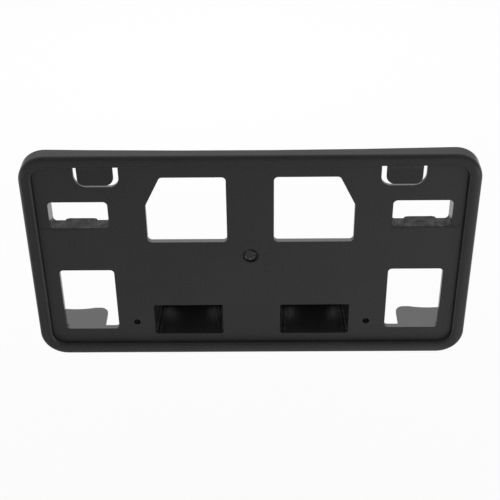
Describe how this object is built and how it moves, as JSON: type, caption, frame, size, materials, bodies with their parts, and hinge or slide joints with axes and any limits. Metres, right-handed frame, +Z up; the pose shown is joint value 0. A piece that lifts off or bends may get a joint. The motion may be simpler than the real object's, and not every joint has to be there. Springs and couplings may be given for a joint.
{
  "type": "number plate holder",
  "caption": "One-piece black plastic holder for a car's front number plate, with a raised rim, top hooks, side slots, rear shelves and hollow legs that bolt to the bumper.",
  "frame": {"origin": "middle of the number plate on the panel's front face, which is also the middle of the recess", "axes": "-Y out of the front face towards the viewer, +Y towards the bumper, +Z up and +X to the right as seen from the front"},
  "size_m": [0.33, 0.045, 0.178],
  "materials": {
    "black_plastic": "satin, fine moulded grain"
  },
  "bodies": {
    "root": {"plate_holder": "black_plastic"}
  },
  "joints": []
}
